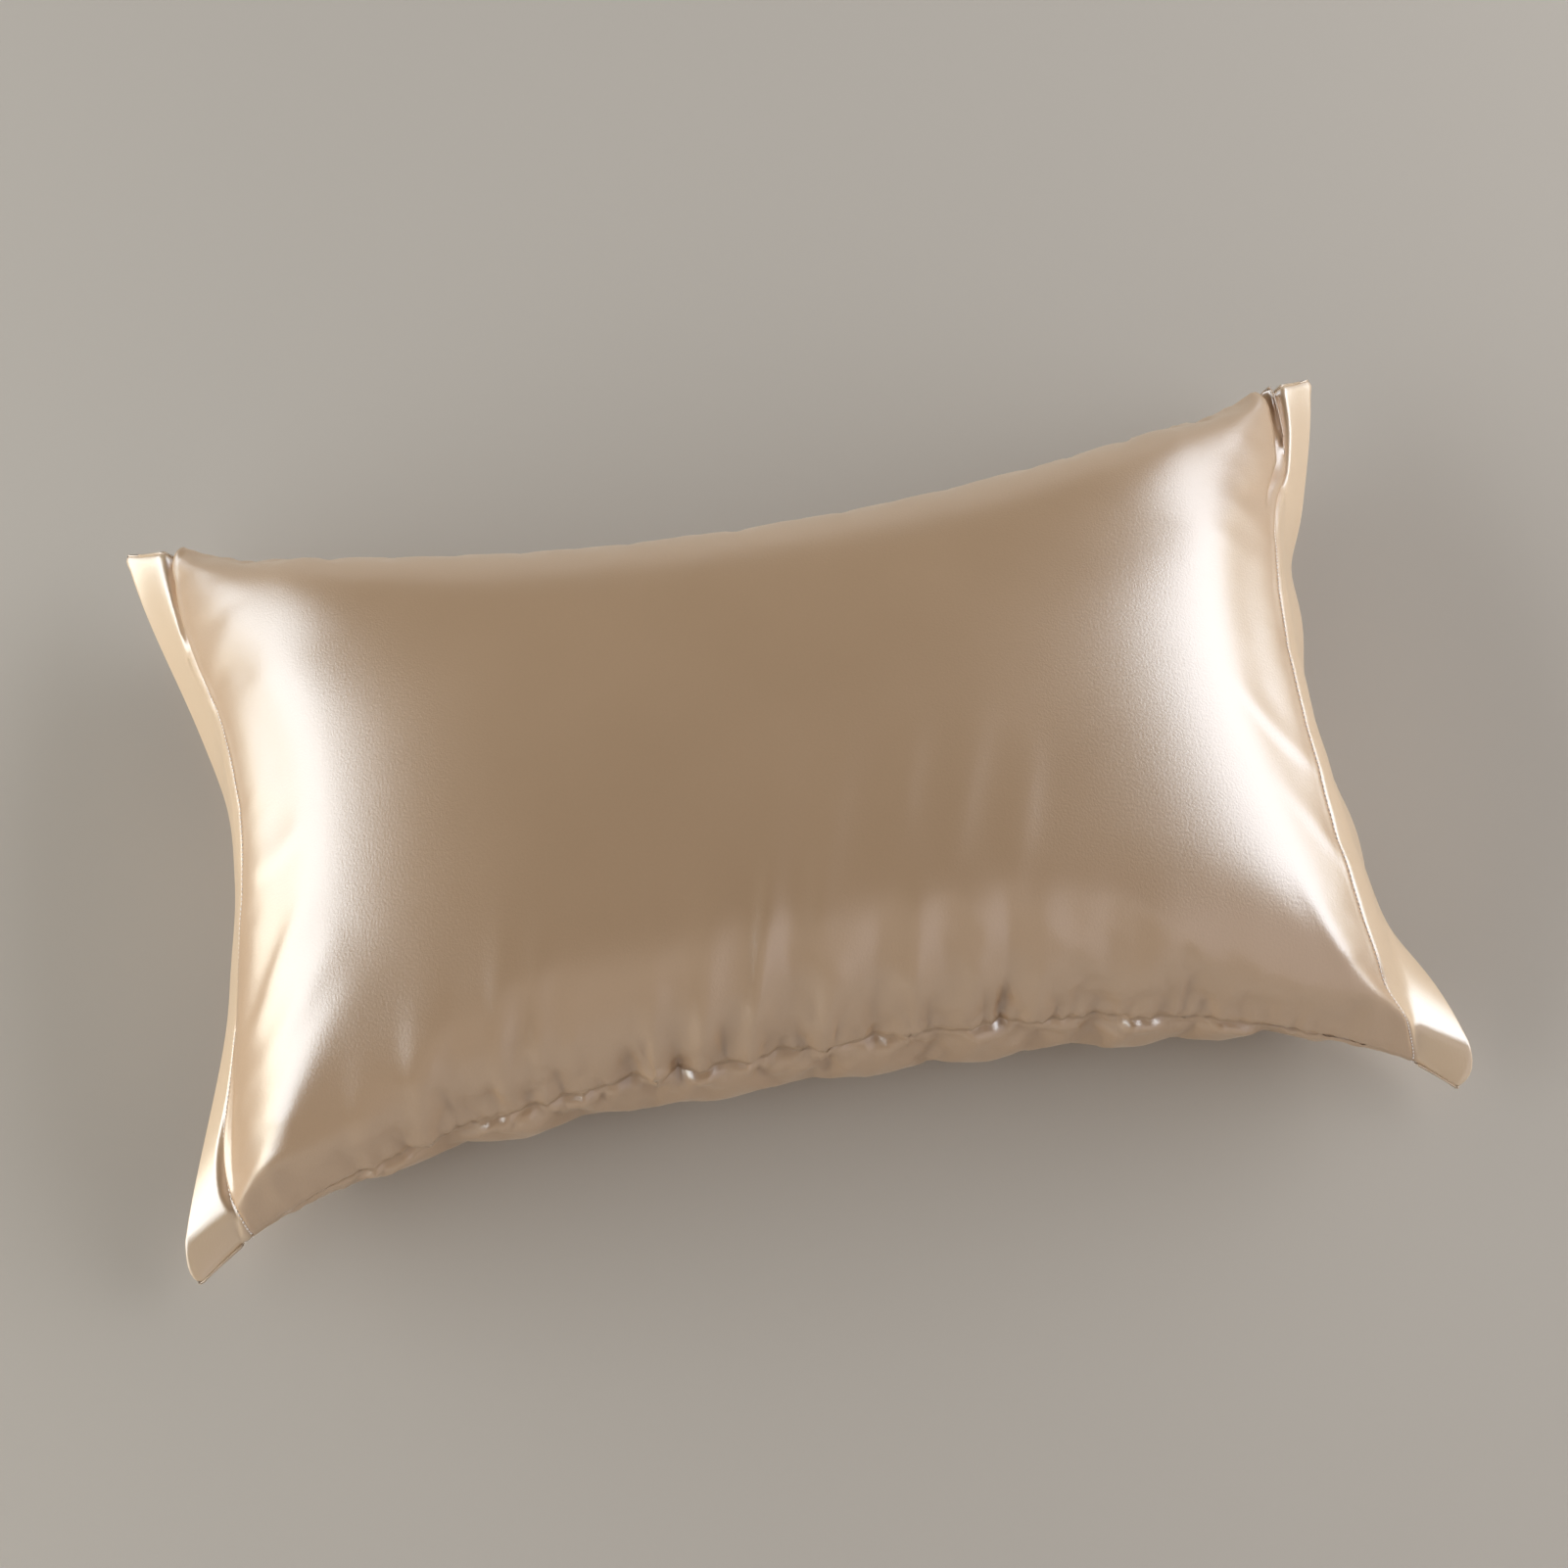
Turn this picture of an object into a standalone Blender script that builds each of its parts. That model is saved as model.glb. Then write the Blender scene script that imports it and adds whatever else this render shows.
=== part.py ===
"""A satin pillowcase with its pillow inside, lying on its back.

Two panels are joined along both long sides, and each end has a deep stitched hem that stays
flat where the filling stops. The case is one closed solid: a crowned top, drawn-in sides,
a flat patch underneath where it rests, and the main folds.

Metres. +X runs along the case, +Y across it, +Z up. The origin is the middle of the resting
patch, on the surface that the case lies on. "Near" is the -Y side.
"""

import math
from collections import namedtuple

import bmesh
import bpy
from mathutils import Vector

# Plan of the filled case.
CORNER_X = 0.358  # half the distance between corners, along the case
CORNER_Y = 0.217  # the same, across it
NEAR_SAG = 0.065  # how far the middle of the near side is drawn in from its corners
FAR_SAG = 0.068
NEAR_CURVE = 2.8  # power of a long side's curve: higher is flatter in the middle
FAR_CURVE = 2.3
NEAR_STITCH_X = 0.330  # half the distance between the ends of the two hem stitch lines
FAR_STITCH_X = 0.325
STITCH_SAG = 0.024  # how far the middle of a stitch line is drawn in
STITCH_CURVE = 1.6  # power of the cosine that draws in a stitch line

# Heights above the surface.
CROWN_TOP = 0.198
SIDE_SEAM_Z = 0.086  # long-side seams at their middle
STITCH_MID_Z = 0.094  # hem stitch lines at their middle
NEAR_CORNER_Z = 0.048  # where a stitch line meets a long side
FAR_CORNER_Z = 0.058
NEAR_RISE = 3.0  # power of the seam's rise from a corner to the middle: higher is steeper
FAR_RISE = 5.0
SINK = 0.016  # how far the pillow's weight flattens its underside
OVERHANG = 0.016  # how far the lower panel bulges out under the near seam
OVERHANG_START = -0.45  # share of the width at which the bulge starts

# Hems.
HEM_DEPTH = 0.032
HEM_EDGE = 0.0036  # thickness of the folded, stitched edge
HEM_DROOP_NEAR = math.radians(8)  # slope of the hem below level at the near corners
HEM_DROOP_FAR = math.radians(20)
HEM_DROOP_MID = math.radians(80)  # and at the middle of each end
HEM_DROOP_CURVE = 2.4  # power of the change from one to the other

# Near corners, where the cloth turns down over the end of the pillow.
FOLD_START = 0.84  # share of the way from the middle line to the near side
FOLD_DROP = 0.016
FOLD_TUCK = 0.010  # how far the corner itself is drawn in along the case

# Sections: powers of the superellipses that the filled case follows.
LENGTH_POWER = 2.9
WIDTH_POWER = 2.35

# Grid.
CELLS_ALONG = 58
CELLS_ACROSS = 34
CELLS_HEM = 3

SATIN_COLOUR = (0.80, 0.63, 0.46, 1.0)
SATIN_ROUGHNESS = 0.36

# Bulges of the lower panel just under the near seam: x, half width, and how far out.
Bulge = namedtuple("Bulge", "x width out")
BULGES = (
    Bulge(x=-0.240, width=0.030, out=0.004),
    Bulge(x=-0.172, width=0.024, out=0.005),
    Bulge(x=-0.058, width=0.026, out=0.005),
    Bulge(x=0.030, width=0.022, out=0.004),
    Bulge(x=0.092, width=0.022, out=0.005),
    Bulge(x=0.176, width=0.020, out=0.006),
    Bulge(x=0.226, width=0.020, out=0.005),
)

# Waves along the two hems: end (-1 left, 1 right), y, half width, and how far out of the hem.
Wave = namedtuple("Wave", "end y width out")
HEM_WAVES = (
    Wave(end=-1, y=0.040, width=0.030, out=-0.002),
    Wave(end=-1, y=-0.050, width=0.028, out=0.002),
    Wave(end=1, y=0.098, width=0.020, out=-0.004),
    Wave(end=1, y=0.052, width=0.024, out=0.003),
    Wave(end=1, y=-0.014, width=0.018, out=-0.005),
    Wave(end=1, y=-0.070, width=0.030, out=0.003),
    Wave(end=1, y=-0.120, width=0.035, out=-0.009),
)


def bell(distance, half_width):
    """1 at the line, fading to nothing at about twice the half width."""
    return math.exp(-((distance / half_width) ** 2))


def superellipse_by_length(power, half_width, height, count=400):
    """(across, up) of a quarter superellipse, as shares of its sizes, at even steps of its length.

    The first point is its middle, straight up, and the last its edge.
    """
    fine = []
    for i in range(count + 1):
        angle = math.pi / 2 * i / count
        fine.append((math.sin(angle) ** (2 / power), math.cos(angle) ** (2 / power)))
    lengths = [0.0]
    for (x0, z0), (x1, z1) in zip(fine, fine[1:]):
        step = math.hypot((x1 - x0) * half_width, (z1 - z0) * height)
        lengths.append(lengths[-1] + step)
    return fine, lengths


def at_share(profile, share):
    """The profile's (across, up) at a signed share of its length, from -1 to 1."""
    fine, lengths = profile
    wanted = min(abs(share), 1.0) * lengths[-1]
    low, high = 0, len(lengths) - 1
    while high - low > 1:
        middle = (low + high) // 2
        if lengths[middle] <= wanted:
            low = middle
        else:
            high = middle
    part = (wanted - lengths[low]) / (lengths[high] - lengths[low])
    across = fine[low][0] + part * (fine[high][0] - fine[low][0])
    up = fine[low][1] + part * (fine[high][1] - fine[low][1])
    return math.copysign(across, share), up


MID_X = (NEAR_STITCH_X + FAR_STITCH_X) / 2 - STITCH_SAG
MID_Y = CORNER_Y - (NEAR_SAG + FAR_SAG) / 2
MEAN_CORNER_Z = (NEAR_CORNER_Z + FAR_CORNER_Z) / 2
MID_Z = SIDE_SEAM_Z + STITCH_MID_Z - MEAN_CORNER_Z  # the layer where the panels part
ALONG = superellipse_by_length(LENGTH_POWER, MID_X, CROWN_TOP - MID_Z)
ACROSS = superellipse_by_length(WIDTH_POWER, MID_Y, CROWN_TOP - MID_Z)


def between(near, far, v):
    """A value that goes evenly from near at the near side to far at the far side."""
    return near + (far - near) * (v + 1) / 2


def stitch_x(v):
    """Half the distance between the stitch lines at v."""
    drawn_in = STITCH_SAG * max(0.0, math.cos(math.pi / 2 * v)) ** STITCH_CURVE
    return between(NEAR_STITCH_X, FAR_STITCH_X, v) - drawn_in


def side_y(x, v):
    """How far the long side on v's side is from the middle line, at x."""
    sag = NEAR_SAG if v < 0 else FAR_SAG
    curve = NEAR_CURVE if v < 0 else FAR_CURVE
    return CORNER_Y - sag * (1 - min(1.0, abs(x) / CORNER_X) ** curve)


def near_fold(v):
    """0 over most of the width, rising to 1 at the near side."""
    share = max(0.0, (-v - FOLD_START) / (1 - FOLD_START))
    return share * share * (3 - 2 * share)


def seam_layer_z(u, v):
    """Height of the layer between the panels: the seams' own height along the rim."""
    corner = between(NEAR_CORNER_Z, FAR_CORNER_Z, v)
    side = (SIDE_SEAM_Z - corner) * (1 - abs(u) ** between(NEAR_RISE, FAR_RISE, v))
    end = (STITCH_MID_Z - corner) * math.cos(math.pi / 2 * v)
    return corner + side + end - FOLD_DROP * near_fold(v) * abs(u) ** NEAR_RISE


def filled_point(u, v, top):
    """A point of the filled part. u and v run from -1 to 1 along and across the cloth."""
    along, up_along = at_share(ALONG, u)
    across, up_across = at_share(ACROSS, v)
    x = stitch_x(v) * (u + (along - u) * up_across)
    y = side_y(x, v) * (v + (across - v) * up_along)
    z = seam_layer_z(u, v)
    share = up_along * up_across
    if top:
        z += (CROWN_TOP - MID_Z) * share + HEM_EDGE / 2
    else:
        z = max(0.0, z - (MID_Z + SINK) * share - HEM_EDGE / 2)
    return Vector((x, y, z))


def hem_point(end, v, out, top):
    """A point of the flat hem at one end, out metres past the stitch line."""
    corner = between(HEM_DROOP_NEAR, HEM_DROOP_FAR, v)
    droop = HEM_DROOP_MID + (corner - HEM_DROOP_MID) * abs(v) ** HEM_DROOP_CURVE
    reach = stitch_x(v) + out * math.cos(droop)
    tuck = FOLD_TUCK * near_fold(v) ** 4 * out / HEM_DEPTH
    x = end * (reach - tuck)
    y = side_y(reach, v) * v
    z = seam_layer_z(end, v) - out * math.sin(droop)
    thick = HEM_EDGE / 2 if top else -HEM_EDGE / 2
    wave = sum(w.out * bell(y - w.y, w.width) for w in HEM_WAVES if w.end == end)
    thick += wave * out / HEM_DEPTH
    return Vector((x + end * thick * math.sin(droop), y, z + thick * math.cos(droop)))


def overhang(u, point, v):
    """How far the lower panel stands out under the near seam."""
    if v > OVERHANG_START:
        return 0.0
    share = (OVERHANG_START - v) / (OVERHANG_START + 1)
    bulge = OVERHANG + sum(b.out * bell(point.x - b.x, b.width) for b in BULGES)
    return bulge * (1 - abs(u) ** 4) * math.sin(math.pi * share ** 1.5)


def column_shares():
    """Shares along the cloth of the filled part's columns, a little closer at the ends."""
    shares = []
    for i in range(CELLS_ALONG + 1):
        even = 2 * i / CELLS_ALONG - 1
        shares.append(even * (1.12 - 0.12 * even * even))
    return shares


def panel_points(top):
    """The panel's points as columns along X, from the left hem's edge to the right hem's."""
    rows = [2 * j / CELLS_ACROSS - 1 for j in range(CELLS_ACROSS + 1)]
    shares = column_shares()
    filled = [[filled_point(u, v, top) for v in rows] for u in shares]
    if not top:
        for u, column in zip(shares, filled):
            for v, point in zip(rows, column):
                point.y -= overhang(u, point, v)
    steps = [HEM_DEPTH * k / CELLS_HEM for k in range(1, CELLS_HEM + 1)]
    left = [[hem_point(-1, v, out, top) for v in rows] for out in reversed(steps)]
    right = [[hem_point(1, v, out, top) for v in rows] for out in steps]
    return left + filled + right


def case_mesh():
    """The closed case: both panels, and the thin rim between them all round."""
    mesh = bmesh.new()
    top = [[mesh.verts.new(p) for p in column] for column in panel_points(True)]
    bottom = [[mesh.verts.new(p) for p in column] for column in panel_points(False)]
    last_column, last_row = len(top) - 1, CELLS_ACROSS
    for i in range(last_column):
        for j in range(last_row):
            mesh.faces.new((top[i][j], top[i + 1][j], top[i + 1][j + 1], top[i][j + 1]))
            mesh.faces.new(
                (bottom[i][j], bottom[i][j + 1], bottom[i + 1][j + 1], bottom[i + 1][j])
            )
    ring = [(i, 0) for i in range(last_column)]
    ring += [(last_column, j) for j in range(last_row)]
    ring += [(i, last_row) for i in range(last_column, 0, -1)]
    ring += [(0, j) for j in range(last_row, 0, -1)]
    for (i0, j0), (i1, j1) in zip(ring, ring[1:] + ring[:1]):
        mesh.faces.new((bottom[i0][j0], bottom[i1][j1], top[i1][j1], top[i0][j0]))
    data = bpy.data.meshes.new("pillowcase")
    mesh.to_mesh(data)
    mesh.free()
    return data


def satin():
    """Champagne satin."""
    material = bpy.data.materials.new("satin")
    material.use_nodes = True
    shader = material.node_tree.nodes["Principled BSDF"]
    shader.inputs["Base Color"].default_value = SATIN_COLOUR
    shader.inputs["Roughness"].default_value = SATIN_ROUGHNESS
    shader.inputs["Metallic"].default_value = 0.0
    return material


def centred_on_its_box(data):
    """Move the mesh so that the middle of its box, seen from above, is at X = Y = 0."""
    for axis in (0, 1):
        values = [vertex.co[axis] for vertex in data.vertices]
        middle = (min(values) + max(values)) / 2
        for vertex in data.vertices:
            vertex.co[axis] -= middle
    return data


def clear_scene():
    for thing in list(bpy.data.objects):
        bpy.data.objects.remove(thing)


def main():
    clear_scene()
    case = bpy.data.objects.new("pillowcase", centred_on_its_box(case_mesh()))
    case.data.materials.append(satin())
    case.data.shade_smooth()
    bpy.context.scene.collection.objects.link(case)


main()
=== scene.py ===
"""A champagne satin pillowcase with its pillow inside, lying on its back.

The cloth is worked out in its own coordinates: "along" runs the length of the case and "across"
its width, both in metres over the cloth's surface from the middle of a panel. Folds are placed in
them, as if marked with chalk on the flat panel. "Near" is the side towards the camera, at -Y.
"""

import math
from collections import namedtuple

import bmesh
import bpy
import numpy as np
from bpy.props import FloatProperty, FloatVectorProperty, IntProperty, PointerProperty
from mathutils import Matrix, Vector


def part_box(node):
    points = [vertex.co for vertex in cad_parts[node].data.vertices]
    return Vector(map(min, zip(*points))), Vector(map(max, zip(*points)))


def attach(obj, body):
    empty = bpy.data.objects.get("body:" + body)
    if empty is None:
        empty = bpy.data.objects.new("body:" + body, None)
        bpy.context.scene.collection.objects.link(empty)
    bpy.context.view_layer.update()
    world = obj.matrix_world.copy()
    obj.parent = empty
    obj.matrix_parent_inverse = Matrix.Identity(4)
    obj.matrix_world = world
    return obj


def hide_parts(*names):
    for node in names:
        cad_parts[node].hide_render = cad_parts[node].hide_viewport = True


bl_info = {
    "name": "Filled Pillowcase",
    "version": (1, 0, 0),
    "blender": (4, 5, 0),
    "location": "3D View > Sidebar > Pillowcase",
    "description": "Makes a satin pillowcase with its pillow inside, its hem stitching and a stage",
    "category": "Object",
}

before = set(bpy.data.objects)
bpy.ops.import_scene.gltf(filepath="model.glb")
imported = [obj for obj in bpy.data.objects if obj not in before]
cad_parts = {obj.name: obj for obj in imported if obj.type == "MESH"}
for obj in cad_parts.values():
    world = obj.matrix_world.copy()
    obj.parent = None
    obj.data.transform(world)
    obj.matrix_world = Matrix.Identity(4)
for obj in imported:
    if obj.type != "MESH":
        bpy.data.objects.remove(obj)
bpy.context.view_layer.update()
CASE_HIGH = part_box("pillowcase")[1]

# ---------------------------------------------------------------- form of the filled case

CORNER_X = CASE_HIGH.x  # half the distance between corners, along the case
CORNER_Y = 0.217  # the same, across it, to the near corners
FAR_CORNER_Y = 0.2205
NEAR_SAG = 0.0575  # how far the middle of the near side is drawn in from its corners
FAR_SAG = 0.0715
NEAR_CURVE = 2.8  # power of a long side's curve: higher is flatter in the middle
FAR_CURVE = 2.3
NEAR_STITCH_X = 0.330  # half the distance between the ends of the two hem stitch lines
FAR_STITCH_X = 0.325
STITCH_SAG = 0.024  # how far the middle of a stitch line is drawn in
STITCH_CURVE = 1.6
STITCH_PLACES = 400  # places across at which a drawn stitch line is worked out
STITCH_MARGIN = 0.01  # how far they reach past the long seams
STITCH_SMOOTHING = 31  # how many of them the line is rounded over

CROWN_TOP = 0.1955
SIDE_SEAM_Z = 0.086  # long-side seams at their middle
STITCH_MID_Z = 0.094  # hem stitch lines at their middle
NEAR_CORNER_Z = 0.048  # where a stitch line meets a long side
FAR_CORNER_Z = 0.058
NEAR_RISE = 3.0  # power of the seam's rise from a corner to the middle
FAR_RISE = 5.0
SINK = 0.016  # how far the pillow's weight flattens its underside
OVERHANG = 0.009  # how far the lower panel bulges out under the near seam
OVERHANG_START = -0.45  # share of the width at which the bulge starts
OVERHANG_POWER = 1.5  # above 1, it is fullest nearer to the seam
OVERHANG_END_POWER = 4  # power of its fall towards the corners

DROOP_NEAR = math.radians(8)  # slope of a hem below level at the near corners
DROOP_FAR = math.radians(20)
DROOP_MID = math.radians(80)
DROOP_CURVE = 2.4

FOLD_START = 0.92  # share of the width where the cloth turns down over a near corner
FOLD_DROP = 0.017
FOLD_TUCK = {-1: 0.005, 1: 0.010}  # how far a corner itself is drawn in along the case, by end
TUCK_POWER = 4  # higher keeps that nearer to the corner
CORNER_POINT = 0.005  # how far the end of a near corner points out across the case

LENGTH_POWER = 2.65  # superellipse powers of the case's sections
WIDTH_POWER = 2.35
HIP_POWER = 3.0  # higher is a crisper hip from each corner up to the crown

# ---------------------------------------------------------------- grid of the cloth

FACE_CELLS = 114  # columns from the middle of the case to the fine band at a stitch line
BAND_CELLS = 18  # fine columns beside a stitch line
STITCH_CELL = 10  # the column of that band which the stitch line runs along
END_CELLS = 18  # columns from there to the end of the hem
FINE_CELL = 0.001  # width of a column in the fine band
CELLS_ACROSS = 160
RIM_SHARE = 0.30  # size of the outermost cells across, as a share of the middle ones
RIM_CELLS = 5  # over how many cells they grow

# ---------------------------------------------------------------- spare cloth and settling

SETTLE_CELLS = (132, 88)  # along and across
SETTLE_FRAMES = 18
SETTLE_LIMIT = 0.010  # how far a point may move
SETTLE_SOFTENING = 3  # passes that take out the sharpest creases, all but beside the seams
CRINKLE_REACH = 0.030  # how far from a long seam the sharp creases stay
CRINKLE_SHARE = 0.9  # how much of them stays at the seam itself
CRINKLE_FADE = 1.4  # above 1, the sharp creases end before the corners
CRINKLE_POWER = 6  # power of their fall towards the corners
RESTING_HEIGHT = 0.0015  # the floor holds the cloth that starts lower than this
FILL_PRESSURE = 4.0
SEAM_SPARE = 0.10  # share by which the cloth at the near seam is longer than the seam
FAR_SPARE = 0.05  # the same at the far seam
END_SPARE = 0.015  # and at the ends
SEAM_SPARE_REACH = 0.022  # how far from a seam the spare cloth reaches
END_SPARE_REACH = 0.025
SPARE_POWER = 1.5  # higher is a sharper end to it
SPARE_END_POWER = 8  # power of its fall along a seam towards the corners

# ---------------------------------------------------------------- stitch lines and folds

# Where the two hem stitch lines run over the cloth, from the near side to the far side.
Station = namedtuple("Station", "across along")
STITCH_LINES = {
    -1: (
        Station(-0.185, 0.322),
        Station(-0.172, 0.330),
        Station(-0.154, 0.337),
        Station(-0.137, 0.3405),
        Station(-0.103, 0.3335),
        Station(-0.068, 0.324),
        Station(-0.038, 0.312),
        Station(-0.006, 0.305),
        Station(0.037, 0.306),
        Station(0.058, 0.309),
        Station(0.092, 0.3175),
        Station(0.130, 0.324),
        Station(0.185, 0.327),
    ),
    1: (
        Station(-0.185, 0.330),
        Station(-0.176, 0.326),
        Station(-0.159, 0.313),
        Station(-0.135, 0.304),
        Station(-0.109, 0.299),
        Station(-0.086, 0.297),
        Station(-0.040, 0.299),
        Station(0.000, 0.301),
        Station(0.046, 0.303),
        Station(0.092, 0.312),
        Station(0.115, 0.321),
        Station(0.132, 0.330),
        Station(0.158, 0.334),
        Station(0.185, 0.334),
    ),
}

# Deep narrow gaps where the hem is drawn under beside a stitch line: end, place outside the
# stitch line, and then places across with a half width and a depth at each.
Gap = namedtuple("Gap", "end outside stations")
GAP_INNER, GAP_OUTER = 0.6, 1.3  # shares of the half width on the gap's two sides
GAP_POWER = 2.6  # higher is a flatter floor and steeper sides
GAPS = (
    Gap(-1, 0.0016, ((0.040, 0.0007, 0.0), (0.070, 0.0010, 0.0024), (0.100, 0.0018, 0.0050),
                     (0.130, 0.0026, 0.0072), (0.185, 0.0034, 0.0090))),
    Gap(-1, 0.0012, ((-0.178, 0.0010, 0.0), (-0.162, 0.0022, 0.0050), (-0.145, 0.0022, 0.0044),
                     (-0.120, 0.0010, 0.0))),
    Gap(1, 0.0006, ((0.075, 0.0008, 0.0), (0.100, 0.0014, 0.0030), (0.140, 0.0022, 0.0060),
                    (0.185, 0.0026, 0.0075))),
    Gap(1, -0.0080, ((0.095, 0.0008, 0.0), (0.125, 0.0018, 0.0040), (0.150, 0.0024, 0.0065),
                     (0.185, 0.0026, 0.0075))),
)

# A soft fold on the top panel: along and across of three points on its line, half width, height
# (a trough is negative) and skew (above 0 it is wider on its left, seen from its first point).
Fold = namedtuple("Fold", "along0 across0 along1 across1 along2 across2 width rise skew")
FOLD_FADE = 1.2  # power of a fold's rise and fall along its line
FOLD_PLACES = 17  # points that are worked out along a fold's line
FOLDS = (
    Fold(-0.318, -0.135, -0.276, -0.010, -0.296, 0.112, 0.019, -0.0030, 0.0),
    Fold(0.298, -0.150, 0.276, 0.000, 0.308, 0.146, 0.019, -0.0034, 0.0),
    Fold(-0.250, 0.075, -0.282, 0.140, -0.330, 0.185, 0.030, -0.0030, 0.0),
    Fold(0.250, 0.075, 0.282, 0.140, 0.330, 0.185, 0.030, -0.0036, 0.0),
    Fold(-0.334, 0.300, -0.330, 0.185, -0.318, 0.070, 0.024, 0.0080, 0.0),
    Fold(-0.309, -0.022, -0.280, -0.023, -0.252, -0.006, 0.007, 0.0010, 0.3),
    Fold(-0.258, -0.045, -0.285, -0.081, -0.312, -0.110, 0.008, 0.0012, 0.3),
    Fold(-0.262, -0.086, -0.299, -0.111, -0.340, -0.126, 0.008, -0.0010, 0.0),
    Fold(-0.236, -0.070, -0.280, -0.106, -0.328, -0.132, 0.011, 0.0014, 0.0),
    Fold(-0.240, -0.092, -0.286, -0.121, -0.326, -0.142, 0.009, -0.0010, 0.0),
    Fold(-0.226, -0.090, -0.286, -0.132, -0.335, -0.172, 0.015, 0.0014, 0.0),
    Fold(-0.213, -0.090, -0.268, -0.129, -0.322, -0.164, 0.017, 0.0012, 0.0),
    Fold(0.250, -0.006, 0.277, -0.040, 0.306, -0.056, 0.007, 0.0012, 0.5),
    Fold(0.262, -0.060, 0.288, -0.088, 0.312, -0.120, 0.008, 0.0008, 0.4),
    Fold(0.257, -0.100, 0.276, -0.136, 0.290, -0.168, 0.008, 0.0010, 0.3),
    Fold(0.336, 0.300, 0.334, 0.190, 0.324, 0.085, 0.024, 0.0085, 0.0),
    Fold(-0.007, -0.135, 0.018, -0.080, 0.043, -0.010, 0.010, 0.0010, 0.2),
    Fold(0.032, -0.135, 0.055, -0.075, 0.082, -0.008, 0.010, 0.0012, 0.2),
    Fold(0.066, -0.125, 0.090, -0.070, 0.116, -0.010, 0.011, 0.0011, 0.2),
    Fold(0.102, -0.130, 0.120, -0.080, 0.138, -0.030, 0.010, 0.0009, 0.2),
    Fold(-0.079, -0.140, -0.076, -0.090, -0.072, -0.045, 0.003, 0.0003, 0.0),
    Fold(-0.087, 0.030, -0.085, 0.070, -0.082, 0.110, 0.003, 0.0003, 0.0),
)

# A gather that runs up the top panel from the near seam: where it starts along the seam, how
# far it leans and reaches, its half width halfway up, its height beside the seam, and its skew
# (above 0 it is wider on its right).
Gather = namedtuple("Gather", "along lean reach width rise skew")
GATHER_FADE = 2.2  # power of a gather's fall up from the seam
GATHER_FLARE = (0.6, 0.8)  # shares of its half width: at the seam, and added by its end
GATHER_HELD, HELD_REACH = 0.25, 0.004  # share that the seam holds down, and how far up
GATHERS = (
    Gather(-0.250, 0.020, 0.080, 0.0100, 0.0034, 0.3),
    Gather(-0.218, 0.022, 0.100, 0.0110, 0.0044, 0.3),
    Gather(-0.195, 0.020, 0.110, 0.0070, -0.0024, 0.0),
    Gather(-0.172, 0.026, 0.140, 0.0075, 0.0036, 0.2),
    Gather(-0.151, 0.022, 0.130, 0.0060, 0.0030, 0.2),
    Gather(-0.131, 0.016, 0.100, 0.0060, 0.0024, 0.2),
    Gather(-0.103, 0.000, 0.050, 0.0060, -0.0048, 0.0),
    Gather(-0.090, 0.016, 0.085, 0.0075, 0.0065, 0.3),
    Gather(-0.093, 0.006, 0.024, 0.0085, 0.0060, 0.5),
    Gather(-0.077, 0.004, 0.045, 0.0050, -0.0048, 0.0),
    Gather(-0.066, 0.030, 0.130, 0.0085, 0.0056, 0.2),
    Gather(-0.040, 0.054, 0.195, 0.0080, 0.0052, 0.2),
    Gather(-0.020, 0.034, 0.150, 0.0090, -0.0038, 0.0),
    Gather(0.004, 0.016, 0.135, 0.0125, 0.0056, 0.2),
    Gather(0.030, 0.020, 0.150, 0.0090, -0.0038, 0.0),
    Gather(0.048, 0.028, 0.190, 0.0095, 0.0038, 0.2),
    Gather(0.078, 0.020, 0.140, 0.0130, 0.0044, 0.2),
    Gather(0.101, 0.006, 0.110, 0.0060, -0.0052, 0.0),
    Gather(0.117, 0.014, 0.120, 0.0090, 0.0036, 0.2),
    Gather(0.152, 0.012, 0.100, 0.0080, -0.0026, 0.0),
    Gather(0.174, 0.018, 0.100, 0.0110, 0.0030, 0.2),
    Gather(0.212, 0.010, 0.080, 0.0090, -0.0018, 0.0),
)

# Small unevenly spaced puckers at a long seam: the least and most between them, the largest
# lean, how far they reach, their height and half width.
Puckers = namedtuple("Puckers", "least most lean reach rise width")
REACHES, RISES, WIDTHS = (0.5, 1.2), (0.4, 1.3), (0.8, 1.25)  # least and most share of each
PUCKER_POWER = 6  # power of their height's fall towards the corners
SEAM_PUCKERS = Puckers(0.0045, 0.013, 0.8, 0.009, 0.0017, 0.0024)
LOWER_PUCKERS = Puckers(0.007, 0.018, 1.6, 0.022, 0.0019, 0.0048)

# Relief along the seams: ridges on both sides of a stitch line, the sunk line itself, and the
# swell and the dip beside a long seam. Each has its distance from the line, width and height.
Relief = namedtuple("Relief", "away width rise")
STITCH_RIDGE = Relief(0.0026, 0.0015, 0.0002)
STITCH_DIP = Relief(0.0, 0.0010, -0.0008)
SEAM_SWELL = Relief(0.004, 0.0028, 0.0007)
SEAM_DIP = Relief(0.0, 0.0015, -0.0018)
FULLER = 0.0006  # how much higher the stitch ridges are towards the far corners
FULLER_FROM, FULLER_OVER = 0.02, 0.07  # where across they start to grow, and over how far
CARRIED_REACH = 0.006  # how far from the rim the lower panel follows the upper one's folds
HEM_FADE = 0.003  # distance over which the lighter hem colour sets in: partly the doubled cloth, partly painted light

# Bulges of the lower panel just under the near seam: place, half width, and how far out.
Bulge = namedtuple("Bulge", "x width out")
BULGES = (
    Bulge(-0.240, 0.030, 0.004),
    Bulge(-0.172, 0.024, 0.005),
    Bulge(-0.058, 0.026, 0.005),
    Bulge(0.030, 0.022, 0.004),
    Bulge(0.092, 0.022, 0.005),
    Bulge(0.176, 0.020, 0.006),
    Bulge(0.226, 0.020, 0.005),
)

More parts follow.
